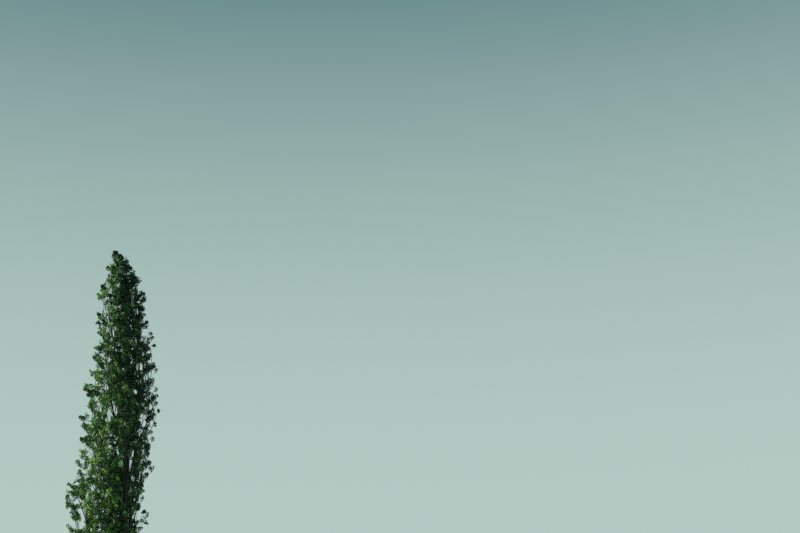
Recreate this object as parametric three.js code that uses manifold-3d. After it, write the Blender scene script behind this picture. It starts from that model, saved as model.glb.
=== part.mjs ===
// A Lombardy poplar: one tall trunk, steep boughs and upright masses of foliage.
// Lengths are millimetres and +Z is up. The origin is the centre of the flat cut at ground level.
// The wind has swept the upper crown towards -X.

import * as THREE from 'three';
import { mergeVertices } from 'three/addons/utils/BufferGeometryUtils.js';
import Module from 'manifold-3d';

const wasm = await Module();
wasm.setup();

const { lerp, clamp, smoothstep } = THREE.MathUtils;

// Trunk: height and lean
const treeHeight = 24000;
const trunkTop = 23700;
const upperSweep = 620;
const sweepPower = 3.6;
const tipWhip = 460;
const whipPower = 34;
const trunkSway = 45;
const swayLength = 7600;

// Trunk: thickness
const boleRadius = 300;
const taperPower = 0.92;
const tipRadius = 9;
const tipLength = 70;
const flareRadius = 270;
const flareHeight = 520;
const rootWaves = [{ folds: 7, depth: 0.3, phase: 0.6 }, { folds: 3, depth: 0.15, phase: 1.1 }];
const trunkSides = 14;
const trunkRings = 20;
const ringSpread = 1.7;

// Crown: how far the foliage reaches from the trunk's axis at each height, on each side
const reachHeights = [2000, 4200, 7500, 10500, 13300, 15200, 17300, 19300, 21200, 22300, 23300, 24000];
const reachLeft = [420, 950, 1550, 1950, 2300, 1780, 1500, 1240, 1100, 980, 560, 1];
const reachRight = [420, 900, 1200, 1000, 540, 780, 1260, 1080, 860, 680, 350, 1];
const reachFront = [400, 950, 1400, 1500, 1450, 1420, 1360, 1180, 960, 760, 380, 1];
const reachBack = [420, 900, 1350, 1450, 1400, 1450, 1400, 1200, 950, 740, 380, 1];
const cornerPower = 2.7;

// Masses of foliage, in tiers that overlap in height
const massSeed = 11;
const tierCount = 8;
const massesPerTier = 4;
const lowestTier = 2550;
const highestTier = 19050;
const lowestMassLength = 4400;
const highestMassLength = 3550;
const topClearance = 900;
const azimuthJitter = 0.16;
const heightJitter = 380;
const lowestTierJitter = 115;
const sizeJitter = 0.1;
const lowWidthShare = 0.39;
const highWidthShare = 0.43;
const narrowestMass = 400;
const widestPart = 0.45;
const footReach = 0.42;
const lowFootDistance = 520;
const highFootDistance = 170;
const flameRise = 0.82;
const flameFullness = 0.62;
const lumpWaves = [
  { folds: 2, depth: 0.13, climb: 5 },
  { folds: 3, depth: 0.1, climb: -8 },
  { folds: 5, depth: 0.07, climb: 13 },
];
const massSides = 8;
const massRings = 6;

// The leading mass round the trunk's tip
const leaderBottom = 20900;
const leaderWidthShare = 0.98;
const leaderPhases = [0.4, 2.2, 4.1];
const leaderWaist = 0.35;

// Boughs
const boughTiers = 5;
const boughDrop = 1250;
const lowestAttach = 900;
const lowBoughRadius = 92;
const highBoughRadius = 58;
const boughTaper = 0.42;
const boughBendOut = 0.72;
const boughBendUp = 0.42;
const boughEntry = 0.09;
const boughSides = 6;
const boughRings = 4;
const leastBoughVolume = 3e6;

// Clearance between pieces that touch
const seatGap = 0.4;

const barkMaterial = () => new THREE.MeshStandardMaterial({ color: 0x4a4438, roughness: 0.95 });
const foliageMaterial = () => new THREE.MeshStandardMaterial({ color: 0x2c4420, roughness: 0.8 });

// A repeatable stream of numbers from 0 to 1.
function seededRandom(seed) {
  let state = seed;
  return () => {
    state = (state + 0x6d2b79f5) | 0;
    let mixed = Math.imul(state ^ (state >>> 15), 1 | state);
    mixed = (mixed + Math.imul(mixed ^ (mixed >>> 7), 61 | mixed)) ^ mixed;
    return ((mixed ^ (mixed >>> 14)) >>> 0) / 2 ** 32;
  };
}

// The point at a distance from a centre, in the level direction of an angle counted from +X towards +Y.
function levelOffset(centre, angle, distance) {
  const x = centre.x + distance * Math.cos(angle);
  const y = centre.y + distance * Math.sin(angle);
  return new THREE.Vector3(x, y, centre.z);
}

// The centre of the trunk at height z: a slight sway, a sweep that grows with height, and a whipped tip.
function trunkAxis(z) {
  const rise = Math.min(z / treeHeight, 1);
  const sway = trunkSway * Math.sin((2 * Math.PI * z) / swayLength) * rise;
  const sweep = upperSweep * rise ** sweepPower + tipWhip * rise ** whipPower;
  return new THREE.Vector3(sway - sweep, trunkSway * Math.sin(z / swayLength) * rise, z);
}

// The trunk's radius: an even taper, and a flare at the foot that is lobed where the roots begin.
function trunkRadius(z, angle) {
  const taper = tipRadius + (boleRadius - tipRadius) * (1 - z / trunkTop) ** taperPower;
  const lobes = rootWaves.reduce(
    (sum, { folds, depth, phase }) => sum + depth * Math.cos(folds * angle + phase),
    1,
  );
  return taper + flareRadius * Math.exp(-z / flareHeight) * lobes;
}

// A smooth value through the knots of a reach list.
function alongKnots(values, z) {
  const above = reachHeights.findIndex((height) => height > z);
  const i = above < 0 ? reachHeights.length - 2 : Math.max(above - 1, 0);
  return lerp(values[i], values[i + 1], smoothstep(z, reachHeights[i], reachHeights[i + 1]));
}

// How far the crown reaches at a height and an azimuth: a superellipse through the four sides.
function crownReach(azimuth, z) {
  const east = Math.cos(azimuth) / alongKnots(Math.cos(azimuth) > 0 ? reachRight : reachLeft, z);
  const north = Math.sin(azimuth) / alongKnots(Math.sin(azimuth) > 0 ? reachBack : reachFront, z);
  return (Math.abs(east) ** cornerPower + Math.abs(north) ** cornerPower) ** (-1 / cornerPower);
}

// A unit shape with shared vertices, its axis turned to +Z, and each vertex moved by a function.
function deform(unitGeometry, place) {
  unitGeometry.deleteAttribute('normal');
  unitGeometry.deleteAttribute('uv');
  const geometry = mergeVertices(unitGeometry);
  geometry.rotateX(Math.PI / 2);
  const { position } = geometry.attributes;
  const vertex = new THREE.Vector3();
  for (let i = 0; i < position.count; i += 1) {
    const moved = place(vertex.fromBufferAttribute(position, i));
    position.setXYZ(i, moved.x, moved.y, moved.z);
  }
  return geometry;
}

// The same closed shape, moved outwards along its vertex normals.
function grown(geometry, distance) {
  const copy = geometry.clone();
  copy.computeVertexNormals();
  const { position, normal } = copy.attributes;
  const vertex = new THREE.Vector3();
  const direction = new THREE.Vector3();
  for (let i = 0; i < position.count; i += 1) {
    vertex.fromBufferAttribute(position, i);
    vertex.addScaledVector(direction.fromBufferAttribute(normal, i), distance);
    position.setXYZ(i, vertex.x, vertex.y, vertex.z);
  }
  return copy;
}

function toSolid(geometry) {
  return new wasm.Manifold(new wasm.Mesh({
    numProp: 3,
    vertProperties: new Float32Array(geometry.attributes.position.array),
    triVerts: new Uint32Array(geometry.index.array),
  }));
}

// The largest body of a cut solid; the crumbs that a cut leaves beside it are dropped.
function largestBody(solid) {
  return solid.decompose().reduce((best, body) => (body.volume() > best.volume() ? body : best));
}

function toGeometry(solid) {
  const cut = solid.getMesh();
  const geometry = new THREE.BufferGeometry();
  geometry.setAttribute('position', new THREE.BufferAttribute(new Float32Array(cut.vertProperties), 3));
  geometry.setIndex(new THREE.BufferAttribute(new Uint32Array(cut.triVerts), 1));
  geometry.computeVertexNormals();
  return geometry;
}

// The trunk: level rings, closest together at the flare, a flat cut below and a pointed tip.
function trunkGeometry() {
  return deform(new THREE.CylinderGeometry(1, 1, 1, trunkSides, trunkRings), ({ x, y, z }) => {
    const height = trunkTop * (z + 0.5) ** ringSpread;
    const angle = Math.atan2(y, x);
    const onRim = Math.hypot(x, y) > 0.5;
    const point = levelOffset(trunkAxis(height), angle, onRim ? trunkRadius(height, angle) : 0);
    if (!onRim && z > 0) point.z += tipLength;
    return point;
  });
}

// Where each mass of foliage stands: tier by tier, each tier turned half a place against the one below it.
function planMasses() {
  const random = seededRandom(massSeed);
  const spread = (amount) => amount * (2 * random() - 1);
  const plans = [];
  for (let tier = 0; tier < tierCount; tier += 1) {
    const rise = tier / (tierCount - 1);
    const length = lerp(lowestMassLength, highestMassLength, rise);
    const widthShare = lerp(lowWidthShare, highWidthShare, rise ** 2);
    for (let place = 0; place < massesPerTier; place += 1) {
      const turned = tier % 2 === 0 ? 0.5 : 0;
      const azimuth = ((place + turned) * 2 * Math.PI) / massesPerTier + spread(azimuthJitter);
      const lift = spread(tier === 0 ? lowestTierJitter : heightJitter);
      const bottom = lerp(lowestTier, highestTier, rise) + lift;
      const middleReach = crownReach(azimuth, bottom + widestPart * length);
      plans.push({
        tier,
        azimuth,
        bottom,
        length: Math.min(length * (1 + spread(sizeJitter)), treeHeight - topClearance - bottom),
        halfWidth: Math.max(narrowestMass, widthShare * middleReach * (1 + spread(sizeJitter))),
        phases: lumpWaves.map(() => spread(Math.PI)),
      });
    }
  }
  return plans;
}

// The half-width of a flame-shaped mass along its length, from 0 at its foot to 0 at its tip.
function flame(part) {
  return Math.sin(Math.PI * part ** flameRise) ** flameFullness;
}

// The centre line of a mass: it starts near the trunk and swings out until the mass fills the reach.
function massAxis(plan, part) {
  const z = plan.bottom + plan.length * part;
  const full = Math.max(crownReach(plan.azimuth, z) - plan.halfWidth * flame(part), 0);
  const foot = lerp(lowFootDistance, highFootDistance, plan.tier / (tierCount - 1));
  const distance = Math.max(full * lerp(footReach, 1, smoothstep(part, 0, 0.5)), foot * (1 - part));
  return levelOffset(trunkAxis(z), plan.azimuth, distance);
}

// Uneven all round: waves that turn as they climb, each mass with its own phases.
function lumps(phases, angle, part) {
  return lumpWaves.reduce(
    (sum, { folds, depth, climb }, i) => sum + depth * Math.sin(folds * angle + phases[i] + climb * part),
    1,
  );
}

// A closed shape with a point at its foot and at its tip. outline gives its centre and radius.
function pointedMass(outline) {
  return deform(new THREE.SphereGeometry(1, massSides, massRings), ({ x, y, z }) => {
    const part = 1 - Math.acos(clamp(z, -1, 1)) / Math.PI;
    const angle = Math.atan2(y, x);
    const atPole = Math.hypot(x, y) < 1e-6;
    const { centre, radius } = outline(part, angle);
    return levelOffset(centre, angle, atPole ? 0 : radius);
  });
}

function massGeometry(plan) {
  return pointedMass((part, angle) => ({
    centre: massAxis(plan, part),
    radius: plan.halfWidth * flame(part) * lumps(plan.phases, angle, part),
  }));
}

// The topmost mass stands round the trunk's tip and leans with it.
function leaderGeometry() {
  return pointedMass((part, angle) => {
    const height = lerp(leaderBottom, treeHeight, part);
    const width = leaderWidthShare * smoothstep(part, -0.1, leaderWaist) * crownReach(angle, height);
    return { centre: trunkAxis(height), radius: width * lumps(leaderPhases, angle, part) };
  });
}

// A bough leaves the trunk below its mass, turns upwards and tapers into the mass's foot.
function boughGeometry(plan) {
  const start = trunkAxis(Math.max(plan.bottom - boughDrop, lowestAttach));
  const end = massAxis(plan, boughEntry);
  const bend = new THREE.Vector3(
    lerp(start.x, end.x, boughBendOut),
    lerp(start.y, end.y, boughBendOut),
    lerp(start.z, end.z, boughBendUp),
  );
  const curve = new THREE.QuadraticBezierCurve3(start, bend, end);
  const side = new THREE.Vector3(-Math.sin(plan.azimuth), Math.cos(plan.azimuth), 0);
  const thickness = lerp(lowBoughRadius, highBoughRadius, plan.tier / (boughTiers - 1));
  return deform(new THREE.CylinderGeometry(1, 1, 1, boughSides, boughRings), ({ x, y, z }) => {
    const part = z + 0.5;
    const tangent = curve.getTangent(part);
    const outward = new THREE.Vector3().crossVectors(side, tangent).normalize();
    const across = new THREE.Vector3().crossVectors(tangent, outward);
    const radius = thickness * lerp(1, boughTaper, part);
    return curve.getPoint(part).addScaledVector(outward, radius * x).addScaledVector(across, radius * y);
  });
}

const poplar = new THREE.Group();

function addMesh(name, geometry, material) {
  const mesh = new THREE.Mesh(geometry, material);
  mesh.name = name;
  poplar.add(mesh);
}

const numbered = (kind, i) => `${kind}_${String(i + 1).padStart(2, '0')}`;

const trunk = trunkGeometry();
addMesh('trunk', trunk, barkMaterial());
let taken = toSolid(grown(trunk, seatGap));

const massPlans = planMasses();
const wholeMasses = massPlans.map(massGeometry);
wholeMasses.push(leaderGeometry());

// Each bough ends where it enters its own mass. A mass that sits against the trunk hides its bough,
// which is then left out.
massPlans.filter((plan) => plan.tier < boughTiers).forEach((plan, i) => {
  const whole = boughGeometry(plan);
  const ownMass = toSolid(grown(wholeMasses[i], seatGap));
  const showing = toSolid(whole).subtract(taken).subtract(ownMass);
  if (showing.volume() < leastBoughVolume) return;
  addMesh(numbered('bough', i), toGeometry(largestBody(showing)), barkMaterial());
  taken = taken.add(toSolid(grown(whole, seatGap)).subtract(toSolid(wholeMasses[i])));
});

// Each mass is cut round the trunk, the boughs and the masses before it.
wholeMasses.forEach((whole, i) => {
  const name = i < massPlans.length ? numbered('mass', i) : 'mass_leader';
  addMesh(name, toGeometry(largestBody(toSolid(whole).subtract(taken))), foliageMaterial());
  taken = taken.add(toSolid(grown(whole, seatGap)));
});

export default poplar;
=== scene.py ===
import math
import time

import bpy
import numpy as np
from mathutils import Matrix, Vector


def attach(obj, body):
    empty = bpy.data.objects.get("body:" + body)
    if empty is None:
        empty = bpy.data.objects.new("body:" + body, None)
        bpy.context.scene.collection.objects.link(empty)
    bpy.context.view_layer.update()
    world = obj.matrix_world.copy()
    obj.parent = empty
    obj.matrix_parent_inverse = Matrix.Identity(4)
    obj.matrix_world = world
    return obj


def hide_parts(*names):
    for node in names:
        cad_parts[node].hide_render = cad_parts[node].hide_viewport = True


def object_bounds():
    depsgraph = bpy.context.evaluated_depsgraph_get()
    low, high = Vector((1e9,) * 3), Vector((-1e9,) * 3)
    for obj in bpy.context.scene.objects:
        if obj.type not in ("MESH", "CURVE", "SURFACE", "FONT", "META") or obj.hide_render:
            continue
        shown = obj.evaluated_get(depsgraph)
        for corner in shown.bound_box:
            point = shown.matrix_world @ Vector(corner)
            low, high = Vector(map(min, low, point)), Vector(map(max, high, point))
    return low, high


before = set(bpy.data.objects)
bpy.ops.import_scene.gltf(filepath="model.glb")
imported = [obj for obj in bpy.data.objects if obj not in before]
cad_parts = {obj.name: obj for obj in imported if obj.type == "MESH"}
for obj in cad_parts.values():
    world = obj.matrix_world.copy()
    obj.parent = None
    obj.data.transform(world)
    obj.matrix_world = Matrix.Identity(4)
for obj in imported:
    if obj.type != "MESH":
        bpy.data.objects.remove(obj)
cadLow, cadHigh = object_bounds()
started = time.time()
rng = np.random.default_rng(24)  # one seeded stream, so that each run grows the same tree


def say(stage):
    print(f"{time.time() - started:6.1f} s  {stage}")


cameraPlace = dict(
    eye=(0.0, -53.27, 1.6), pitch=22.3, yaw=12.0, roll=2.0, lens=60.0, sensor=36.0, farthest=1000.0,
)
pictureSize = (800, 533)
goldenTurn = 2.39996  # the angle from one shoot, twig or leaf to the next
fullTurn = 6.28  # the range of a free angle, in radians
tiny = 1e-9  # the least number that anything is divided by
slanted = (0.3, 0.5, 0.2)  # crossed with a twig's direction, it gives one at right angles to the twig


# Each vector divided by its length.
def unit(v):
    return v / np.maximum(np.linalg.norm(v, axis=-1, keepdims=True), tiny)


# 0 below a, 1 above b, and 3t^2 - 2t^3 between them.
def smooth(t, a=0.0, b=1.0):
    t = np.clip((t - a) / (b - a), 0, 1)
    return t * t * (3 - 2 * t)


# The level direction at an angle that counts from +X towards +Y.
def levelDir(angle):
    return np.stack([np.cos(angle), np.sin(angle), np.zeros_like(angle)], -1)


# The camera's right, up and forward directions: it looks along level * cos(pitch) + up * sin(pitch), with
# level at its yaw from +Y, and is rolled about that.
def cameraAxes():
    pitch, yaw, roll = (math.radians(cameraPlace[key]) for key in ("pitch", "yaw", "roll"))
    level = np.array((math.sin(yaw), math.cos(yaw), 0))
    right = np.array((math.cos(yaw), -math.sin(yaw), 0))
    up = np.array((0, 0, 1))
    ahead = level * math.cos(pitch) + up * math.sin(pitch)
    above = up * math.cos(pitch) - level * math.sin(pitch)
    across = right * math.cos(roll) - above * math.sin(roll)
    return across, above * math.cos(roll) + right * math.sin(roll), ahead


# Where the camera sees a point, in the picture's pixels: focal length * sideways or upwards offset / distance
# ahead.
def pictureSpot(points):
    across, above, ahead = cameraAxes()
    v = points - cameraPlace["eye"]
    focal = pictureSize[0] * cameraPlace["lens"] / cameraPlace["sensor"]
    depth = v @ ahead
    return pictureSize[0] / 2 + focal * (v @ across) / depth, pictureSize[1] / 2 - focal * (v @ above) / depth


# The point that the camera sees at a spot of the picture, on the upright plane Y = plane.
def fromPicture(x, y, plane):
    across, above, ahead = cameraAxes()
    focal = pictureSize[0] * cameraPlace["lens"] / cameraPlace["sensor"]
    right, up = (x - pictureSize[0] / 2) / focal, (pictureSize[1] / 2 - y) / focal
    ray = ahead + right[:, None] * across + up[:, None] * above
    return cameraPlace["eye"] + ray * ((plane - cameraPlace["eye"][1]) / ray[:, 1])[:, None]


# A piece from arrays of points and triangles.
def makePiece(name, points, triangles, materials, replaces=(), smoothed=False, values=None):
    mesh = bpy.data.meshes.new(name)
    points = np.ascontiguousarray(points.reshape(-1, 3), np.float32)
    triangles = np.ascontiguousarray(triangles.reshape(-1, 3), np.int32)
    mesh.vertices.add(len(points))
    mesh.vertices.foreach_set("co", points.ravel())
    mesh.loops.add(triangles.size)
    mesh.loops.foreach_set("vertex_index", triangles.ravel())
    mesh.polygons.add(len(triangles))
    mesh.polygons.foreach_set("loop_start", np.arange(0, triangles.size, 3, dtype=np.int32))
    mesh.update(calc_edges=True)
    mesh.polygons.foreach_set("use_smooth", np.full(len(triangles), smoothed))
    for label, value in (values or {}).items():
        layer = mesh.attributes.new(label, "FLOAT", "POINT")
        layer.data.foreach_set("value", np.ascontiguousarray(value.ravel(), np.float32))
    for material in materials:
        mesh.materials.append(material)
    piece = bpy.data.objects.new(name, mesh)
    bpy.context.scene.collection.objects.link(piece)
    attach(piece, "root")
    if replaces:
        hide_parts(*replaces)
    return piece


# Triangles between rings of points, counted row by row, with a fan to a point at each end.
def ringFaces(rings, sides):
    row, column = np.meshgrid(np.arange(rings - 1), np.arange(sides), indexing="ij")
    a = row * sides + column
    b = row * sides + (column + 1) % sides
    wall = np.stack([a, b, b + sides, a, b + sides, a + sides], -1).reshape(-1, 3)
    edge = np.arange(sides)
    after = (edge + 1) % sides
    foot, tip, last = rings * sides, rings * sides + 1, (rings - 1) * sides
    base = np.stack([np.full(sides, foot), after, edge], -1)
    end = np.stack([np.full(sides, tip), last + edge, last + after], -1)
    return np.concatenate([wall, base, end])


# A tube along each path: point + radius * (cos(turn) * side + sin(turn) * up) round every path point but the
# last, which is the tube's tip. The radii are one for each point, or one for each point and side.
def tubes(paths, radii, sides):
    count, steps, _ = paths.shape
    along = unit(np.gradient(paths, axis=1))
    helper = np.eye(3)[np.argmin(np.abs(along).mean(axis=1), axis=-1)][:, None]
    side = unit(np.cross(along, helper))
    up = np.cross(along, side)
    turn = np.linspace(0, 2 * math.pi, sides, endpoint=False)[:, None]
    ring = np.cos(turn) * side[:, :, None] + np.sin(turn) * up[:, :, None]
    rings = (paths[:, :, None] + radii.reshape(count, steps, -1, 1) * ring)[:, :-1]
    points = np.concatenate([rings.reshape(count, -1, 3), paths[:, :1], paths[:, -1:]], axis=1)
    faces = ringFaces(steps - 1, sides)[None] + (np.arange(count) * points.shape[1])[:, None, None]
    return points.reshape(-1, 3), faces.reshape(-1, 3)


trunkShape = dict(
    height=24.0, top=23.7, tipLength=0.07,
    sweep=0.62, sweepPower=3.6,  # the upper crown is swept to the left
    whip=0.46, whipPower=34,  # and its tip whips over
    sway=0.045, swayLength=7.6,
    bole=0.3, taper=0.92, tip=0.009,
    flare=0.27, flareHeight=0.52,
    roots=((7, 0.3, 0.6), (3, 0.15, 1.1)),  # folds round the foot, depth, phase
    sides=150, rings=330, ringSpread=1.9,
    furrows=31, furrowDepth=0.016, furrowFade=9.0, leastFurrow=0.06,
    aging=(1.5, 6.0),  # heights between which the bark goes from old to young, darkened as painted shade
)
barkShape = dict(
    bends=((1.5, 3, 1.9, 0), (1.1, 5, -3.1, 1), (0.8, 8, 5.3, 0)),  # how far, waves round and up, and start
    ripple=(0.5, 4, 11.7), sharpness=0.7,
    cracksAlong=23, crackBend=((2.5, 6, 2), (3, 9, 0)), crackDepth=0.35, crackPower=6,
)


# The trunk's centre at height z: a slight sway, a sweep that grows with height and a whipped tip.
def trunkAxis(z):
    s = trunkShape
    rise = np.clip(z / s["height"], 0, 1)
    sway = s["sway"] * np.sin(2 * math.pi * z / s["swayLength"]) * rise
    sweep = s["sweep"] * rise ** s["sweepPower"] + s["whip"] * rise ** s["whipPower"]
    across = s["sway"] * np.sin(z / s["swayLength"]) * rise
    return np.stack([sway - sweep, across, z], -1)


# The trunk's radius at height z and an angle: an even taper plus a flare with a lobe for each root.
def trunkRadius(z, angle):
    s = trunkShape
    taper = s["tip"] + (s["bole"] - s["tip"]) * np.clip(1 - z / s["top"], 0, 1) ** s["taper"]
    lobes = 1 + sum(depth * np.cos(folds * angle + phase) for folds, depth, phase in s["roots"])
    return taper + s["flare"] * np.exp(-z / s["flareHeight"]) * lobes


# How deep the bark lies under its ridges, 0 to 1: n folds of a sine round the wood, bent by slower waves so
# that the ridges part and join as they climb, and broken across here and there.
def barkDepth(z, angle, n):
    s = barkShape
    bend = sum(far * np.sin(folds * angle + climb * z + start) for far, folds, climb, start in s["bends"])
    far, folds, climb = s["ripple"]
    ridge = np.abs(np.sin(n * angle / 2 + bend + far * np.sin(climb * z + folds * angle)))
    waves = (far * np.sin(folds * angle + climb * z) for far, folds, climb in s["crackBend"])
    crack = 0.5 + 0.5 * np.sin(sum(waves, s["cracksAlong"] * z))
    return 1 - ridge ** s["sharpness"] * (1 - s["crackDepth"] * crack ** s["crackPower"])


# The trunk: centre + (radius - relief) * level direction, over height and angle, with rings closer together
# low down.
def makeTrunk(material):
    s = trunkShape
    part = np.linspace(0, 1, s["rings"])[:, None]
    z = np.broadcast_to(s["top"] * part ** s["ringSpread"], (s["rings"], s["sides"]))
    angle = np.broadcast_to(np.linspace(0, 2 * math.pi, s["sides"], endpoint=False), z.shape)
    depth = barkDepth(z, angle, s["furrows"])
    fade = np.clip(1 - z / s["furrowFade"], s["leastFurrow"], 1)
    radius = trunkRadius(z, angle) - s["furrowDepth"] * fade * depth
    rings = trunkAxis(z) + radius[..., None] * levelDir(angle)
    foot = trunkAxis(np.array(0.0))
    tip = trunkAxis(np.array(s["top"])) + (0, 0, s["tipLength"])
    points = np.concatenate([rings.reshape(-1, 3), foot[None], tip[None]])
    furrow = np.append(depth * np.sqrt(fade), (0, 0))
    age = 1 - smooth(points[:, 2], *s["aging"])
    makePiece("trunk_bark", points, ringFaces(s["rings"], s["sides"]), [material],
              replaces=["trunk"], smoothed=True, values={"furrow": furrow, "age": age})


barkLook = dict(
    # the young bark's colour is greener and darkened past its own as painted shade of the crown
    ridge=(0.17, 0.155, 0.12), furrow=(0.035, 0.030, 0.022), youngInShade=(0.018, 0.026, 0.015), roughness=0.93,
    grainScale=26, grainDetail=6, grainStretch=0.16, furrowShade=0.75, ridgeEnd=0.42,
    patchScale=2.3, patchTint=(0.62, 0.66, 0.6), bump=0.5, bumpHeight=0.006,
)


# Bark: dark in the furrows, pale on the ridges, mottled by two noises stretched along the trunk, and darker
# and greener the younger the wood is; the young colour is darkened further as painted shade of the crown.
def makeBark():
    material = bpy.data.materials.new("bark")
    material.use_nodes = True
    nodes, links = material.node_tree.nodes, material.node_tree.links
    look = barkLook
    shader = nodes["Principled BSDF"]
    shader.inputs["Roughness"].default_value = look["roughness"]
    place = nodes.new("ShaderNodeTexCoord")
    stretch = nodes.new("ShaderNodeMapping")
    stretch.inputs["Scale"].default_value = (1, 1, look["grainStretch"])
    links.new(place.outputs["Object"], stretch.inputs["Vector"])
    grain = nodes.new("ShaderNodeTexNoise")
    grain.inputs["Scale"].default_value = look["grainScale"]
    grain.inputs["Detail"].default_value = look["grainDetail"]
    links.new(stretch.outputs["Vector"], grain.inputs["Vector"])
    patches = nodes.new("ShaderNodeTexNoise")
    patches.inputs["Scale"].default_value = look["patchScale"]
    links.new(place.outputs["Object"], patches.inputs["Vector"])
    depth = nodes.new("ShaderNodeAttribute")
    depth.attribute_name = "furrow"
    shade = nodes.new("ShaderNodeMath")
    shade.operation = "MULTIPLY_ADD"
    shade.inputs[1].default_value = look["furrowShade"]
    links.new(depth.outputs["Fac"], shade.inputs[0])
    links.new(grain.outputs["Fac"], shade.inputs[2])
    ramp = nodes.new("ShaderNodeValToRGB")
    ramp.color_ramp.elements[0].position = look["ridgeEnd"]
    ramp.color_ramp.elements[0].color = (*look["ridge"], 1)
    ramp.color_ramp.elements[1].position = 1.0
    ramp.color_ramp.elements[1].color = (*look["furrow"], 1)
    links.new(shade.outputs["Value"], ramp.inputs["Fac"])
    mottle = nodes.new("ShaderNodeMix")
    mottle.data_type = "RGBA"
    mottle.blend_type = "MULTIPLY"
    mottle.inputs["B"].default_value = (*look["patchTint"], 1)
    links.new(patches.outputs["Fac"], mottle.inputs["Factor"])
    links.new(ramp.outputs["Color"], mottle.inputs["A"])
    age = nodes.new("ShaderNodeAttribute")
    age.attribute_name = "age"
    aged = nodes.new("ShaderNodeMix")
    aged.data_type = "RGBA"
    aged.inputs["A"].default_value = (*look["youngInShade"], 1)
    links.new(age.outputs["Fac"], aged.inputs["Factor"])
    links.new(mottle.outputs["Result"], aged.inputs["B"])
    links.new(aged.outputs["Result"], shader.inputs["Base Color"])
    bump = nodes.new("ShaderNodeBump")
    bump.inputs["Strength"].default_value = look["bump"]
    bump.inputs["Distance"].default_value = look["bumpHeight"]
    links.new(grain.outputs["Fac"], bump.inputs["Height"])
    links.new(bump.outputs["Normal"], shader.inputs["Normal"])
    return material


# Leaf colours, from dark to light: base colour and share of the sprays. Dealt out by place, the dark,
# teal-tinted ones are painted shade in the core, on the right and at the tip, and the light, yellow ones
# painted sunlight on the left and outside.
leafLooks = dict(
    leaf_deep=dict(colour=(0.013, 0.039, 0.021), share=0.25),
    leaf_dark=dict(colour=(0.024, 0.065, 0.029), share=0.21),
    leaf_green=dict(colour=(0.040, 0.101, 0.036), share=0.18),
    leaf_mid=dict(colour=(0.062, 0.160, 0.046), share=0.155),
    leaf_light=dict(colour=(0.103, 0.232, 0.064), share=0.13),
    leaf_yellow=dict(colour=(0.185, 0.308, 0.082), share=0.075),
)
leafFinish = dict(roughness=0.6, specular=0.03)
# Twig colour: dark olive, darkened and greened as painted shade of the crown.
shadedTwigColour = (0.017, 0.026, 0.013)
twigFinish = dict(roughness=0.85, specular=0.1)


def makePlain(name, colour, finish):
    material = bpy.data.materials.new(name)
    material.use_nodes = True
    shader = material.node_tree.nodes["Principled BSDF"]
    shader.inputs["Base Color"].default_value = (*colour, 1)
    shader.inputs["Roughness"].default_value = finish["roughness"]
    shader.inputs["Specular IOR Level"].default_value = finish["specular"]
    return material


bark = makeBark()
twigBark = makePlain("bark_twig", shadedTwigColour, twigFinish)
say("materials")
makeTrunk(bark)
say("trunk")


massReading = dict(levels=25, directions=24, leastEnd=0.25)  # a mass's ends keep this share of its reach


# The level section of a mass at each height, as segments between the two crossed edges of each triangle.
def sectionSegments(tri, z):
    height = tri[..., 2] - z
    ends = []
    for i, j in ((0, 1), (1, 2), (2, 0)):
        crossed = (height[:, i] > 0) != (height[:, j] > 0)
        share = height[:, i] / np.where(crossed, height[:, i] - height[:, j], 1)
        point = tri[:, i] + share[:, None] * (tri[:, j] - tri[:, i])
        ends.append(np.where(crossed[:, None], point, np.nan))
    ends = np.stack(ends, 1)
    two = np.isfinite(ends[..., 0]).sum(1) == 2
    ends = ends[two]
    order = np.argsort(np.isnan(ends[..., 0]), axis=1, kind="stable")[:, :2]
    return np.take_along_axis(ends, order[..., None], axis=1)[..., :2]


# Each mass as its centre line and, round it, how far it reaches in each level direction.
def readMass(node):
    mesh = node.data
    mesh.calc_loop_triangles()
    co = np.empty(len(mesh.vertices) * 3)
    mesh.vertices.foreach_get("co", co)
    index = np.empty(len(mesh.loop_triangles) * 3, np.int32)
    mesh.loop_triangles.foreach_get("vertices", index)
    tri = co.reshape(-1, 3)[index].reshape(-1, 3, 3)
    low, high = tri[..., 2].min(), tri[..., 2].max()
    heights = np.linspace(low, high, massReading["levels"] + 2)[1:-1]
    direction = levelDir(np.linspace(-math.pi, math.pi, massReading["directions"], endpoint=False))[:, :2]
    centres, reaches = [], []
    for z in heights:
        seg = sectionSegments(tri, z)
        weight = np.linalg.norm(seg[:, 1] - seg[:, 0], axis=-1)[:, None]
        centre = (seg.mean(1) * weight).sum(0) / weight.sum()
        start, step = seg[:, 0] - centre, seg[:, 1] - seg[:, 0]
        cross = direction[:, None, 0] * step[:, 1] - direction[:, None, 1] * step[:, 0]
        cross = np.where(np.abs(cross) < tiny, tiny, cross)
        far = (start[:, 0] * step[:, 1] - start[:, 1] * step[:, 0]) / cross
        share = (start[:, 0] * direction[:, None, 1] - start[:, 1] * direction[:, None, 0]) / cross
        hit = (share >= 0) & (share <= 1) & (far > 0)
        centres.append(centre)
        reaches.append(np.where(hit, far, 0).max(1))
    return dict(low=low, high=high, heights=heights, centres=np.array(centres), reaches=np.array(reaches))


# A mass's centre at height z, along its centre line.
def massCentre(mass, z):
    x = np.interp(z, mass["heights"], mass["centres"][:, 0])
    y = np.interp(z, mass["heights"], mass["centres"][:, 1])
    return np.stack([x, y, z], -1)


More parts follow.
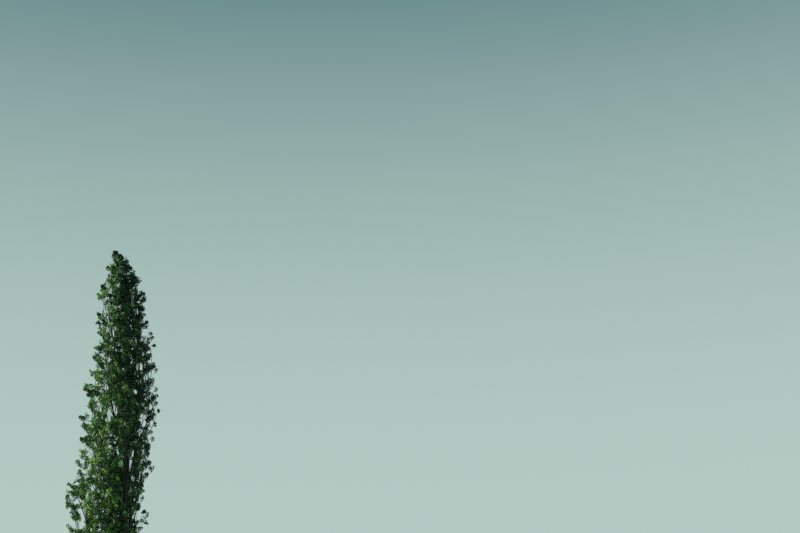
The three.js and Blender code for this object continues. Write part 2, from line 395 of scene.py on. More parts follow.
# A mass's reach from its centre line at height z in a direction, between the four nearest readings; 0 beyond
# its ends.
def massReach(mass, z, angle):
    n = massReading["directions"]
    u = (angle + math.pi) / (2 * math.pi) * n
    v = np.interp(z, mass["heights"], np.arange(len(mass["heights"])))
    i, j = np.floor(u).astype(int), np.minimum(np.floor(v).astype(int), len(mass["heights"]) - 2)
    fu, fv = u - i, v - j
    r = mass["reaches"]
    a = r[j, i % n] * (1 - fu) + r[j, (i + 1) % n] * fu
    b = r[j + 1, i % n] * (1 - fu) + r[j + 1, (i + 1) % n] * fu
    inside = smooth(z, mass["low"], mass["heights"][0]) * (1 - smooth(z, mass["heights"][-1], mass["high"]))
    return (a * (1 - fv) + b * fv) * np.maximum(inside, massReading["leastEnd"])


masses = {name: readMass(node) for name, node in sorted(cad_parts.items()) if name.startswith("mass")}
boughs = {name: readMass(node) for name, node in sorted(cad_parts.items()) if name.startswith("bough")}
say(f"{len(masses)} masses and {len(boughs)} boughs read")


limbShape = dict(
    points=56, sides=20, lowRadius=0.088, highRadius=0.030, tipRadius=0.005, taper=0.85,
    sizes=(24.0, 2.5),  # foot heights of the thinnest and the thickest limb's mass
    root=1.0, highRoot=0.9, lowestRoot=1.0,  # metres below its fork, or its mass, where a limb starts
    boughStep=4, massFrom=2, loneFrom=4,  # the readings of its bough and its mass that a limb runs through
    tipGap=0.12, evened=3,
    furrows=7, furrowDepth=0.16,  # round a limb, and their depth as a share of its radius
)
stemShape = dict(
    perMass=6, points=14, sides=5, tipRadius=0.004, radius=0.020, taper=0.8, thickness=(0.7, 1.2),
    foot=(0.04, 0.42), tip=(0.72, 0.97),  # where a stem starts and ends, as a share of its mass's height
    turn=2.4, scatter=0.3, twist=0.5,
    spread=(0.42, 0.80),  # how far out in its mass a stem runs, as a share of the mass's reach
    settle=1.1,  # metres that a stem climbs before it runs steep
    bare=0.1,  # metres of a limb in its mass below the first shoot
)


# The limb of a mass: from inside the trunk, through its bough and up the mass's centre line to near its tip.
def limbPath(name, mass):
    s = limbShape
    top = mass["high"] - s["tipGap"]
    bough = boughs.get(name.replace("mass", "bough"))
    if bough:
        low, high = bough["heights"][::s["boughStep"]], mass["heights"][s["massFrom"]:]
        z = np.concatenate([low, high])
        line = np.concatenate([massCentre(bough, low), massCentre(mass, high)])
        start = bough["low"] - s["root"]
    else:
        start = max(mass["low"] - s["highRoot"], s["lowestRoot"])
        z = mass["heights"][s["loneFrom"]:]
        line = massCentre(mass, z)
    z = np.concatenate([[start], z])
    line = np.concatenate([trunkAxis(np.array([start])), line])
    grid = np.linspace(start, top, s["points"])
    path = np.stack([np.interp(grid, z, line[:, 0]), np.interp(grid, z, line[:, 1]), grid], -1)
    for _ in range(s["evened"]):
        path[1:-1] = (path[:-2] + 2 * path[1:-1] + path[2:]) / 4
    return path


# Stems that run up beside the limb: centre + share * reach * direction, with the share growing from 0 at the
# fork.
def stemPaths(mass):
    s = stemShape
    count = s["perMass"]
    length = mass["high"] - mass["low"]
    start = mass["low"] + length * rng.uniform(*s["foot"], count)
    end = mass["low"] + length * rng.uniform(*s["tip"], count)
    angle = np.arange(count) * s["turn"] + rng.uniform(0, 2 * math.pi)
    angle = angle + rng.uniform(-s["scatter"], s["scatter"], count)
    share = rng.uniform(*s["spread"], count)
    t = np.linspace(0, 1, s["points"])
    z = start[:, None] + (end - start)[:, None] * t
    turn = angle[:, None] + s["twist"] * (t - 0.5) * rng.uniform(-1, 1, count)[:, None]
    out = share[:, None] * smooth(z - start[:, None], 0, s["settle"])
    wrapped = (turn + math.pi) % (2 * math.pi) - math.pi
    path = massCentre(mass, z) + (out * massReach(mass, z, wrapped))[..., None] * levelDir(turn)
    path[:, 1:-1] = (path[:, :-2] + 2 * path[:, 1:-1] + path[:, 2:]) / 4
    return path


# The part of a limb that is in its mass, with as many points as a stem.
def leafyPart(path, low):
    keep = path[path[:, 2] > low]
    t = np.linspace(0, len(keep) - 1, stemShape["points"])
    whole = np.floor(t).astype(int).clip(0, len(keep) - 2)
    return keep[whole] + (t - whole)[:, None] * (keep[whole + 1] - keep[whole])


# Every mass's limb, its radii, and the stems round it, with the limb's own leafy part as the first of them.
# The topmost mass has the trunk's tip for a limb.
def growLimbs():
    s = limbShape
    paths, radii, stems = [], [], []
    for name, mass in masses.items():
        if name == "mass_leader":
            path = trunkAxis(np.linspace(mass["low"], trunkShape["top"], s["points"]))
        else:
            path = limbPath(name, mass)
            base = s["highRadius"] + (s["lowRadius"] - s["highRadius"]) * smooth(mass["low"], *s["sizes"])
            paths.append(path)
            radii.append(s["tipRadius"] + base * np.linspace(1, 0, len(path)) ** s["taper"])
        stems += [leafyPart(path, mass["low"] + stemShape["bare"])[None], stemPaths(mass)]
    return np.array(paths), np.array(radii), np.concatenate(stems)


limbPaths, limbRadii, stems = growLimbs()


# Limbs and stems as one piece. A limb's tube has the radius * (1 - the depth of its bark), a stem's is
# smooth.
def makeLimbs(material):
    s = limbShape
    turn = np.linspace(0, 2 * math.pi, s["sides"], endpoint=False)
    depth = barkDepth(limbPaths[..., 2:3], turn, s["furrows"])
    points, faces = tubes(limbPaths, limbRadii[..., None] * (1 - s["furrowDepth"] * depth), s["sides"])
    furrow = np.pad(depth[:, :-1].reshape(len(depth), -1), ((0, 0), (0, 2))).ravel()
    s = stemShape
    t = np.linspace(0, 1, s["points"])
    side = np.arange(len(stems)) % (s["perMass"] + 1) > 0  # the first of each mass is the limb itself
    thick = s["radius"] * (1 - t)[None] ** s["taper"] * rng.uniform(*s["thickness"], (side.sum(), 1))
    morePoints, moreFaces = tubes(stems[side], s["tipRadius"] + thick, s["sides"])
    points, faces = np.concatenate([points, morePoints]), np.concatenate([faces, moreFaces + len(points)])
    furrow = np.append(furrow, np.zeros(len(morePoints)))
    age = 1 - smooth(points[:, 2], *trunkShape["aging"])
    makePiece("limbs", points, faces, [material], replaces=sorted(boughs), smoothed=True,
              values={"furrow": furrow, "age": age})
    return len(faces)


count = makeLimbs(bark)
say(f"{len(stems)} stems, {count} triangles")


# The crown's outline without its tufts. Its left and right edges are spots of the picture, read where it
# shows them, and heights and X in metres below that and where they are drawn freely. Its reach to the front
# and the back is given as heights and metres.
crownShape = dict(
    lowLeft=((2.0, -0.42), (4.2, -0.95), (7.5, -1.50), (10.5, -1.85), (11.4, -1.75)),
    leftSpots=((83, 533), (86, 526), (83, 521), (76, 515), (79, 500), (76, 491), (80, 484), (83, 469),
               (80, 458), (87, 452), (89, 446), (85, 441), (85, 433), (92, 399), (90, 390), (98, 368),
               (96, 358), (100, 352), (102, 315), (110.5, 309), (104, 300), (102, 294), (103, 288),
               (110, 283), (114, 252)),
    lowRight=((2.0, 0.42), (4.2, 0.9), (7.5, 1.11), (9.3, 0.95), (10.5, 0.78), (12.1, 0.47)),
    rightSpots=((137, 526), (132, 519), (140, 498), (141, 480), (146, 467), (147, 444), (144, 436),
                (147, 428), (151, 395), (150, 385), (146, 377), (150, 371), (149, 364), (145, 358),
                (148, 350)),
    rightMore=0.06,  # metres by which the right edge lies out from its spots
    topRight=((20.54, 0.37), (21.9, 0.22), (22.15, 0.02), (22.4, -0.10), (22.65, 0.0), (22.77, 0.0),
              (23.57, -0.50), (24.01, -0.95)),
    front=((2.0, 0.40), (4.2, 0.95), (7.5, 1.40), (10.5, 1.50), (13.3, 1.45), (15.2, 1.42), (17.3, 1.36),
           (19.3, 1.18), (21.2, 0.96), (22.3, 0.76), (23.3, 0.42), (24.0, 0.08)),
    back=((2.0, 0.42), (4.2, 0.90), (7.5, 1.35), (10.5, 1.45), (13.3, 1.40), (15.2, 1.45), (17.3, 1.40),
          (19.3, 1.20), (21.2, 0.95), (22.3, 0.74), (23.3, 0.42), (24.0, 0.08)),
    cornerPower=2.7, least=0.06,
)


# An edge of the crown as heights and X: those given for its lower end, where the camera sees its spots on the
# upright plane through the trunk's foot, to the centimetre and moved by more, and those given for its top.
def edgeLine(low, spots, more=0.0, top=()):
    seen = fromPicture(*np.transpose(spots), 0.0)[:, (2, 0)]
    return np.array([*low, *np.round(seen + (0, more), 2), *top])


crownSides = (
    edgeLine(crownShape["lowLeft"], crownShape["leftSpots"]),
    edgeLine(crownShape["lowRight"], crownShape["rightSpots"], crownShape["rightMore"],
             crownShape["topRight"]),
    np.array(crownShape["front"]), np.array(crownShape["back"]),
)
batches = 16  # large tables of distances are worked out in this many parts, to spare memory
nearTrunk = 0.05  # metres from the trunk's centre within which no direction away from it is taken


# How far the crown reaches from the trunk at a height and angle: a superellipse through its four sides.
def crownReach(z, angle):
    s = crownShape
    left, right, front, back = (np.interp(z, *np.transpose(side)) for side in crownSides)
    axis = trunkAxis(z)[..., 0]
    x = np.abs(np.cos(angle)) / np.maximum(np.where(np.cos(angle) > 0, right - axis, axis - left), s["least"])
    y = np.abs(np.sin(angle)) / np.where(np.sin(angle) > 0, back, front)
    return (x ** s["cornerPower"] + y ** s["cornerPower"]) ** (-1 / s["cornerPower"])


# A point's level offset from the trunk's centre: the offset, its length, and its share of the crown's reach
# there.
def fromTrunk(points):
    away = points - trunkAxis(points[:, 2])
    distance = np.hypot(away[:, 0], away[:, 1])
    return away, distance, distance / crownReach(points[:, 2], np.arctan2(away[:, 1], away[:, 0]))


# The openings that the photograph shows in the crown: middle, half width and half height in its pixels.
crownGaps = [
    (119, 285, 2.2, 2), (108, 285, 2.2, 1.2), (110, 292.5, 1.5, 1.4), (138, 302, 2, 1.3),
    (126.5, 303.5, 1.5, 1.3), (120.5, 307, 1.1, 2.5), (105.5, 312, 3, 1.3), (107.8, 317.6, 1.3, 1.5),
    (102.5, 326.6, 2, 1.2), (108, 331, 1.8, 1.3), (112.7, 334, 2.2, 3.2), (144.2, 333, 3.5, 4),
    (111.4, 340.5, 1.1, 2), (137, 342, 1.6, 1.8), (119.3, 344.2, 1.3, 1.8), (150, 346, 2, 1.5),
    (104, 355, 1.8, 1.6), (107, 357.5, 1.8, 1.6), (137, 367, 1.6, 2.8), (106.6, 369, 1.5, 2.8),
    (100.4, 369.5, 1.2, 1.8), (92.5, 370, 2.6, 1.2), (146, 378, 2.3, 2.5), (95, 383, 1.8, 2.6),
    (99.5, 385, 1.8, 1.8), (139.5, 385, 1.8, 2.8), (106.3, 387.4, 2.2, 3.2), (136, 392.5, 1.4, 2.2),
    (96, 398, 2.4, 2.2), (100.3, 407, 2, 5), (150.5, 407, 1.3, 3.5), (112.3, 409, 2.6, 7),
    (109.3, 417, 1.4, 5.5), (116, 411, 0.9, 5), (93.5, 415.2, 1.3, 2.6), (90, 420.5, 1.6, 4.6),
    (107, 421, 2.4, 1.4), (142.3, 420, 1.8, 5.4), (151.4, 423.5, 2.6, 1.6), (125, 426, 1.1, 5),
    (119.7, 430, 0.9, 5), (151.5, 428.5, 4, 1.8), (140.6, 433.5, 2.2, 4.2), (110.4, 435, 2.2, 1.4),
    (106.3, 434.5, 1, 3), (108, 440.5, 1.4, 2.2), (138.5, 443, 1.1, 2), (115, 442.7, 1.6, 1.1),
    (95, 445.2, 1.2, 2.4), (110, 446.3, 1.7, 1.8), (143, 452.5, 1.3, 2.8), (118.2, 454, 1.2, 2.2),
    (90.5, 454, 2.6, 4.4), (133, 454.4, 1.4, 3), (82.5, 461.5, 2.4, 2), (131.2, 467, 2.2, 6),
    (88.8, 468.5, 1.5, 2), (84.5, 472.5, 2.2, 1.8), (87.8, 476.3, 1.4, 1.4), (101.5, 477.6, 1.6, 1.7),
    (140.1, 477, 1.4, 5), (133, 479, 1.8, 3), (75.5, 483.5, 4, 1.7), (93.2, 487.8, 2.4, 3.2),
    (106.3, 495.5, 2, 2), (76, 502.5, 4, 1.8), (83.6, 515, 2.3, 6), (97.3, 517, 1.2, 1.4),
    (136.5, 516, 3, 5), (114.3, 521.2, 1.2, 2.2), (139.5, 525, 2, 2.4), (80, 528, 4.5, 1.3),
    (91.2, 530, 1.2, 2.6),
]
# Where the crown is thin: middle, half width and half height, and the share of the sprays that is missing.
thinPlaces = [
    (111, 420, 8, 40, 0.45), (142, 440, 9, 45, 0.25), (135, 508, 6, 32, 0.25), (80, 505, 13, 34, 0.10),
    (147, 365, 9, 40, 0.15), (90, 420, 8, 50, 0.15), (101, 340, 8, 40, 0.10), (125, 495, 4.5, 48, 0.92),
    (106, 292, 9, 26, 0.22), (111, 345, 6, 34, 0.20),
]
# Tufts and clumps that stand out of the crown's sides in the photograph: tip and foot in its pixels, and half
# width.
seenTufts = [
    (112.5, 250.5, 124, 264, 2.6), (107, 266, 114, 271, 2), (108, 279, 115, 284, 2),
    (102, 286, 110, 293, 3.5), (97, 295, 104, 300, 2.2), (97, 314, 104, 318, 2), (97, 322, 109, 326, 2.5),
    (99, 332, 104, 336, 2.5), (95, 347, 103, 350, 2), (93, 357, 101, 360, 3), (90, 369, 97, 376, 2.2),
    (83, 388, 96, 393, 3), (86, 384, 89, 389, 1.2), (86, 395, 92, 399, 2), (80, 417, 91, 421, 2.5),
    (82, 424, 91, 430, 2.5), (79, 439, 92, 442, 3), (81, 450, 86, 457, 2.2), (77, 460, 84, 467, 2.5),
    (79, 471, 86, 478, 3.5), (71, 480, 70, 484, 0.8), (69, 484, 71, 487, 1.2), (72, 485, 78, 490, 1.8),
    (79, 482, 88, 489, 3.5), (66, 491, 70, 494, 1.3), (70, 490, 77, 496, 2), (76, 492, 84, 498, 2.5),
    (65, 495, 71, 500, 2.2), (65, 501, 72, 506, 2.2), (65, 505, 72, 509, 1.8), (70, 505, 79, 509, 2.4),
    (77, 505, 86, 510, 2.5), (71, 510, 79, 514, 2.2), (71, 516, 80, 519, 2.6), (77, 513, 82, 521, 2.2),
    (67, 526, 70, 529, 1.2), (69, 529, 80, 532, 2), (74, 531, 88, 533, 2.4),
    (132, 268, 124, 270, 3), (140, 280, 131, 279, 3.5), (146, 299, 138, 301, 3.5), (144, 293, 138, 297, 3),
    (144, 308, 139, 310, 2.5), (144, 315, 139, 317, 2.5), (147, 322, 140, 327, 4),
    (152, 332, 151, 334, 1.5), (152, 337, 150, 340, 1.6), (154, 346, 153, 347, 1),
    (150, 346, 143, 351, 3.5), (151, 355, 144, 360, 3.5), (155, 364, 149, 368, 3), (157, 370, 156, 371, 1),
    (154, 380, 148, 383, 2.5), (157, 389, 155, 390, 1.2), (156, 395, 150, 399, 4),
    (156, 403, 154, 404, 1.8), (158, 410, 153, 411, 1.8), (154, 414, 149, 418, 3),
    (156, 424, 150, 426, 2.2), (154, 432, 153, 433, 1.2), (153, 438, 152, 439, 1.6),
    (150, 445, 144, 449, 4), (150, 462, 145, 465, 2.5), (154, 469, 147, 468, 1.2), (148, 473, 143, 477, 2),
    (142, 490, 137, 494, 2.8), (140, 507, 134, 508, 2.8), (145, 511, 141, 515, 1.6),
    (148, 515, 144, 517, 1.4), (141, 516, 138, 520, 2), (147, 520, 144, 521, 1.2),
    (143, 519, 140, 521, 1.6), (143, 525, 140, 527, 1.4), (139, 522, 135, 526, 2),
]
growthShape = dict(out=0.95, outPower=1.5, rise=(-0.26, 0, 0.85))
tuftShape = dict(
    pixel=0.043,  # metres to a pixel, at the tree
    setback=0.09, depth=(-0.35, 0.25), most=16,
    crowding=150,  # sprays for each square metre of length * half width
    spread=0.6, widening=0.8,
    more=100, heights=(3.2, 22.5), out=(0.98, 1.07), length=(0.25, 0.65), width=0.28, scatter=0.1,
    free=12.0, fan=0.22,  # tufts stand all round below this height, and above it in a fan at front and back
)
sprayShape = dict(
    tries=36000, foot=2.2, apart=0.100, squash=0.8,  # sprays keep this far apart, a little more up and down
    inset=(-0.05, 0.08), trunkGap=0.02, gapRim=1.25, narrowest=0.05,
    coreWidth=0.45, coreMore=0.4,  # metres from the trunk's centre within which the sprays stand close
    leftShare=0.71, rightShare=0.66,  # sprays out at the left and right, as a share of the core's
    density=0.68, patchWidth=(0.4, 1.0), patchHeight=(0.8, 2.2), patchWaves=24, patchDepth=0.28,
    leader=140, leaderFrom=21.8, leaderGap=0.1, leaderOut=(0.25, 0.95),
    whole=22.5,  # height above which nothing is left open
    edge=(0.08, 0.15), top=0.08,  # how far a spray's middle stays inside the box, in X and Y and at the top
)


# How thin the crown is at each point: 1 less the missing share in the middle of a thin place, 1 away from
# all.
def thinness(points):
    x, y = pictureSpot(points)
    thin = np.array(thinPlaces)
    out = ((x[:, None] - thin[:, 0]) / thin[:, 2]) ** 2 + ((y[:, None] - thin[:, 1]) / thin[:, 3]) ** 2
    return (1 - thin[:, 4] * np.exp(-out ** 2)).prod(axis=1)


# How far each point lies from the middle of the nearest opening, with 1 at its edge.
def gapShare(points):
    x, y = pictureSpot(points)
    gaps = np.array(crownGaps)
    across = (x[:, None] - gaps[:, 0]) / gaps[:, 2]
    up = (y[:, None] - gaps[:, 1]) / gaps[:, 3]
    return np.hypot(across, up).min(axis=1)


# Thick and thin patches in the crown: a sum of level waves, each with its own direction, length and phase.
def patchiness(points):
    s = sprayShape
    n = s["patchWaves"]
    turn = rng.uniform(0, 2 * math.pi, n)
    level = 2 * math.pi / rng.uniform(*s["patchWidth"], n)
    steep = 2 * math.pi / rng.uniform(*s["patchHeight"], n) * rng.choice((-1, 1), n)
    waves = np.stack([level * np.cos(turn), level * np.sin(turn), steep])
    return np.cos(points @ waves + rng.uniform(0, 2 * math.pi, n)).sum(axis=1) * math.sqrt(2 / n)


# The direction in which foliage grows at a place: up, out from the trunk, and blown to the left.
def growthDirection(points, scatter):
    s = growthShape
    away, distance, share = fromTrunk(points)
    out = away / np.maximum(distance, nearTrunk)[:, None] * np.minimum(share, 1)[:, None] ** s["outPower"]
    return unit(s["out"] * out + s["rise"] + scatter * rng.normal(size=points.shape))


# Sprays in tufts that stand out of the outline: each tuft is a cone that opens from its tip to its foot.
def tuftSprays():
    s = tuftShape
    seen = np.array(seenTufts)
    plane = rng.uniform(*s["depth"], len(seen))
    tips, feet = fromPicture(seen[:, 0], seen[:, 1], plane), fromPicture(seen[:, 2], seen[:, 3], plane)
    tips -= s["setback"] * growthDirection(tips, 0)
    z = rng.uniform(*s["heights"], s["more"])
    angle = rng.uniform(-math.pi, math.pi, s["more"])
    facing = np.sign(angle) * math.pi / 2 + s["fan"] * angle
    angle = np.where(z < s["free"], angle, facing)
    more = trunkAxis(z) + (crownReach(z, angle) * rng.uniform(*s["out"], len(z)))[:, None] * levelDir(angle)
    length = rng.uniform(*s["length"], s["more"])
    moreFeet = more - growthDirection(more, s["scatter"]) * length[:, None]
    tips, feet = np.concatenate([tips, more]), np.concatenate([feet, moreFeet])
    half = np.append(seen[:, 4] * s["pixel"], s["width"] * length)[:, None]
    along = (feet - tips)[:, None]
    count = 1 + s["crowding"] * half * np.linalg.norm(along, axis=-1)
    place = np.arange(s["most"])
    back = (place + rng.uniform(0, 1, (len(tips), s["most"]))) / count
    wide = s["spread"] * half * back ** s["widening"]
    aside = rng.normal(size=(len(tips), s["most"], 3)) * wide[..., None]
    return (tips[:, None] + along * back[..., None] + aside)[place < np.floor(count)]


# Sprays close round the top of the trunk, in a spiral.
def leaderSprays():
    s = sprayShape
    z = np.linspace(s["leaderFrom"], cadHigh[2] - s["leaderGap"], s["leader"])
    angle = goldenTurn * np.arange(s["leader"])
    out = crownReach(z, angle) * rng.uniform(*s["leaderOut"], len(z))
    return trunkAxis(z) + out[:, None] * levelDir(angle)


# The middles of the sprays: scattered through the crown, fewer near its outline and in thin patches, none in
# the openings, and none nearer than a set distance to an earlier one.
def scatterSprays():
    s = sprayShape
    spot = rng.uniform((cadLow[0], cadLow[1], s["foot"]), cadHigh, (s["tries"], 3))
    away, distance, share = fromTrunk(spot)
    reach = distance / np.maximum(share, tiny)
    inside = distance < np.maximum(reach - rng.uniform(*s["inset"], len(spot)), s["narrowest"])
    outer = np.where(away[:, 0] < 0, s["leftShare"], s["rightShare"])
    core = np.exp(-(distance / s["coreWidth"]) ** 2)
    chance = (outer + (1 - outer) * core) * (s["density"] + s["patchDepth"] * patchiness(spot))
    chance = (chance + s["coreMore"] * core) * thinness(spot)
    spot = spot[inside & (rng.uniform(size=len(spot)) < chance)]
    tufts = tuftSprays()
    spot = np.concatenate([tufts, leaderSprays(), spot])
    fixed = np.arange(len(spot)) < len(tufts)
    spot[:, :2] = np.clip(spot[:, :2], np.array(cadLow[:2]) + s["edge"], np.array(cadHigh[:2]) - s["edge"])
    spot[:, 2] = np.minimum(spot[:, 2], cadHigh[2] - s["top"])
    _, distance, _ = fromTrunk(spot)
    clear = distance > trunkRadius(spot[:, 2], 0) + s["trunkGap"]
    keep = (gapShare(spot) > s["gapRim"]) & clear | (spot[:, 2] > s["whole"])
    spot, fixed = spot[keep], fixed[keep]
    place = spot * (1, 1, s["squash"])
    index = np.arange(len(place))
    free = []
    for some in np.array_split(index, batches):
        near = np.linalg.norm(place[some, None] - place, axis=-1) < s["apart"]
        free.append(~(near & (index < some[:, None])).any(axis=1))
    return spot[np.concatenate(free) | fixed]


shootShape = dict(
    steepness=1.15, climb=0.06, flatCost=1.6,  # a shoot is to climb this much for each metre that it spreads
    finer=3, trunkForks=(1.8, 23.7, 0.11),  # fork places: so many to a stem point, and up the trunk
    points=4, sides=3, radius=(0.003, 0.005),  # at the fork: a fixed part, and more for each metre of length
    tipRadius=0.0014, bend=0.45, beyond=0.10,
    loose=(0.22, 0.25),  # scatter in the crown, and more across its rim
    rim=(0.9, 1.2),  # where the rim starts and ends, as a share of the crown's reach
)
twigShape = dict(
    perShoot=4, leafy=(0.17, 0.34), mostLeafy=0.9, jitter=0.8, spread=(0.5, 1.2), length=(0.03, 0.12),
    firstSpread=0.35, rise=0.08, sides=3, radius=0.0022,
    foot=1.3, end=0.6,  # length of the lowest and the topmost twig of a spray, times the length above
)
spraySizes = dict(size=(0.62, 1.2), smaller=0.3, rim=(0.8, 1.2))  # sprays across the crown's rim are smaller


# The stem point that each tip's shoot leaves: the nearest, counted as farther the less steep the shoot would
# be.
def forkPlaces(tips):
    s = shootShape
    fine = np.linspace(0, stems.shape[1] - 1, s["finer"] * stems.shape[1])
    whole = np.minimum(fine.astype(int), stems.shape[1] - 2)
    part = (fine - whole)[:, None]
    places = (stems[:, whole] * (1 - part) + stems[:, whole + 1] * part).reshape(-1, 3)
    places = np.concatenate([places, trunkAxis(np.arange(*s["trunkForks"]))])
    chosen = []
    for some in np.array_split(tips, batches):
        gap = some[:, None] - places
        level = np.hypot(gap[..., 0], gap[..., 1])
        flat = np.maximum(s["steepness"] * level + s["climb"] - gap[..., 2], 0)
        chosen.append(np.argmin(np.hypot(level, gap[..., 2]) + s["flatCost"] * flat, axis=1))
    return places[np.concatenate(chosen)]


# A quadratic curve from each fork to each tip that arrives in the direction of growth: its middle point lies
# back from the tip along that direction by a share of the distance.
def growShoots(middles):
    s = shootShape
    loose = s["loose"][0] + s["loose"][1] * smooth(fromTrunk(middles)[2], *s["rim"])
    growth = growthDirection(middles, loose[:, None])
    tip = middles + s["beyond"] * growth
    fork = forkPlaces(tip)
    length = np.linalg.norm(tip - fork, axis=-1, keepdims=True)
    bend = tip - s["bend"] * length * growth
    t = np.linspace(0, 1, s["points"])[:, None]
    return (1 - t) ** 2 * fork[:, None] + 2 * t * (1 - t) * bend[:, None] + t ** 2 * tip[:, None]


# Twigs round the leafy end of each shoot: each leaves it at a golden turn from the last, and the lower are
# longer.
def growTwigs(parents, size):
    s = twigShape
    n, k, last = len(parents), s["perShoot"], parents.shape[1] - 1
    run = np.linalg.norm(np.diff(parents, axis=1), axis=-1).sum(axis=1)
    leafy = np.minimum(rng.uniform(*s["leafy"], n) * size / run, s["mostLeafy"])
    back = (np.arange(k) + rng.uniform(0, s["jitter"], (n, k))) / k
    at = (1 - leafy[:, None] * back) * last
    whole = np.minimum(at.astype(int), last - 1)
    row = np.arange(n)[:, None]
    step = parents[row, whole + 1] - parents[row, whole]
    start = parents[row, whole] + (at - whole)[..., None] * step
    along = unit(step)
    turn = np.arange(k) * goldenTurn + rng.uniform(0, fullTurn, (n, 1))
    helper = unit(np.cross(along, slanted))
    outward = np.cos(turn)[..., None] * helper + np.sin(turn)[..., None] * np.cross(along, helper)
    spread = rng.uniform(*s["spread"], (n, k, 1)) * np.where(np.arange(k)[:, None] > 0, 1, s["firstSpread"])
    pointed = s["end"] + (s["foot"] - s["end"]) * back[..., None]
    length = rng.uniform(*s["length"], (n, k, 1)) * size[:, None, None] * pointed
    tip = start + length * unit(along + spread * outward + (0, 0, s["rise"]))
    return np.stack([start, tip], axis=2).reshape(-1, 2, 3)


# A piece of tubes, one along each path.
def makeTubes(name, paths, radii, sides, material):
    points, faces = tubes(paths, radii, sides)
    makePiece(name, points, faces, [material])
    return len(faces)


middles = scatterSprays()
smaller = 1 - spraySizes["smaller"] * smooth(fromTrunk(middles)[2], *spraySizes["rim"])
spraySize = rng.uniform(*spraySizes["size"], len(middles)) * smaller
shoots = growShoots(middles)
shootLength = np.linalg.norm(np.diff(shoots, axis=1), axis=-1).sum(axis=1)
tapered = np.linspace(1, 0, shootShape["points"])
atFork = shootShape["radius"][0] + shootShape["radius"][1] * shootLength
shootRadii = shootShape["tipRadius"] + atFork[:, None] * tapered
count = makeTubes("shoots", shoots, shootRadii, shootShape["sides"], twigBark)
say(f"{len(shoots)} shoots, {count} triangles, mean length {shootLength.mean():.2f} m")
twigs = growTwigs(shoots, spraySize)
twigRadii = np.full(twigs.shape[:2], twigShape["radius"])
count = makeTubes("twigs", twigs, twigRadii, twigShape["sides"], twigBark)
say(f"{len(twigs)} twigs, {count} triangles")


leafShape = dict(
    perTwig=7, length=(0.054, 0.078),
    ages=(1.08, 0.25),  # a factor at the twig's foot, and how much less at its tip
    width=1.0, fold=0.15, droop=0.3, bladeScatter=0.4, lifted=0.6, scatter=0.8,
    stalk=(0.015, 0.038), stalkWidth=0.0015, stalkRise=0.7, stalkScatter=0.25, turnScatter=0.5,
    wide=0.34,  # where the blade is widest, as a share of its length
    past=0.07,  # metres by which a leaf's middle may stand past the tree's box
)
leafFaces = np.array([(0, 1, 2), (2, 4, 3), (2, 3, 5)])  # the stalk and the blade's two halves
# Painted light and shade in the leaf colours: lighter to the left and outside for sunlight, darker in the
# core, on the right and towards the tip for shade.
colourDeal = dict(
    left=1.1, leftRange=(-0.15, 0.65), out=0.25, spray=0.36, sprayChance=0.7, chance=0.12,
    height=0.06, paintedShadeFrom=18, paintedShadeMost=5,  # painted shade, darker towards the tip
)


# Leaves round each twig: a thin stalk to the blade's foot, then a broad blade, widest at a third of its
# length, pointed, and folded at its midrib so that both edges are lifted.
def growLeaves():
    s = leafShape
    n, k = len(twigs), s["perTwig"]
    t = (np.arange(k) + rng.uniform(0, 1, (n, k))) / k
    u = t[..., None]
    low, tip = twigs[:, None, 0], twigs[:, None, 1]
    foot = low + u * (tip - low)
    along = unit(np.broadcast_to(tip - low, foot.shape))
    turn = np.arange(k) * goldenTurn + rng.uniform(0, fullTurn, (n, 1))
    turn = turn + rng.uniform(-s["turnScatter"], s["turnScatter"], (n, k))
    helper = unit(np.cross(along, slanted))
    outward = np.cos(turn)[..., None] * helper + np.sin(turn)[..., None] * np.cross(along, helper)
    stalk = unit(outward + s["stalkRise"] * along + s["stalkScatter"] * rng.normal(size=foot.shape))
    start = foot + stalk * rng.uniform(*s["stalk"], (n, k, 1))
    blade = unit(stalk + (0, 0, -s["droop"]) + s["bladeScatter"] * rng.normal(size=foot.shape))
    facing = outward + (0, 0, s["lifted"]) + s["scatter"] * rng.normal(size=foot.shape)
    flat = unit(np.cross(blade, facing))
    face = np.cross(flat, blade)
    size = rng.uniform(*s["length"], (n, k, 1)) * (s["ages"][0] - s["ages"][1] * u)
    half = flat * size * s["width"] / 2
    wide = start + blade * size * s["wide"] + face * s["fold"] * size
    return np.stack([
        foot - flat * s["stalkWidth"], foot + flat * s["stalkWidth"], start, start + blade * size,
        wide + half, wide - half,
    ], axis=2)  # twigs, leaves, 6 points, 3


# Which colour each twig's leaves have, with light and shade painted in: twigs are ranked by a sum of how far
# left and out they are (painted sunlight), of their spray's own number (painted sun and shade patches, mixed
# with chance) and of some chance, less painted shade towards the tip, and the colours are dealt out along the
# ranking by their shares.
def dealColours():
    s = colourDeal
    tips = twigs[:, 1]
    away, distance, share = fromTrunk(tips)
    left = -away[:, 0] / np.maximum(distance, nearTrunk) * share
    spray = patchiness(shoots[:, -1]) + s["sprayChance"] * rng.normal(size=len(shoots))
    spray = np.repeat(spray, twigShape["perShoot"])
    # painted sunlight: lighter the farther left and out, with painted sun and shade patches by spray
    score = s["left"] * np.clip(left, *s["leftRange"]) + s["out"] * np.minimum(share, 1) + s["spray"] * spray
    # painted shade: darker towards the tip
    paintedShade = s["height"] * np.clip(tips[:, 2] - s["paintedShadeFrom"], 0, s["paintedShadeMost"])
    score += s["chance"] * rng.normal(size=len(tips)) - paintedShade
    rank = np.argsort(np.argsort(score)) / len(score)
    shares = np.cumsum([look["share"] for look in leafLooks.values()])
    return np.searchsorted(shares / shares[-1], rank, side="right")


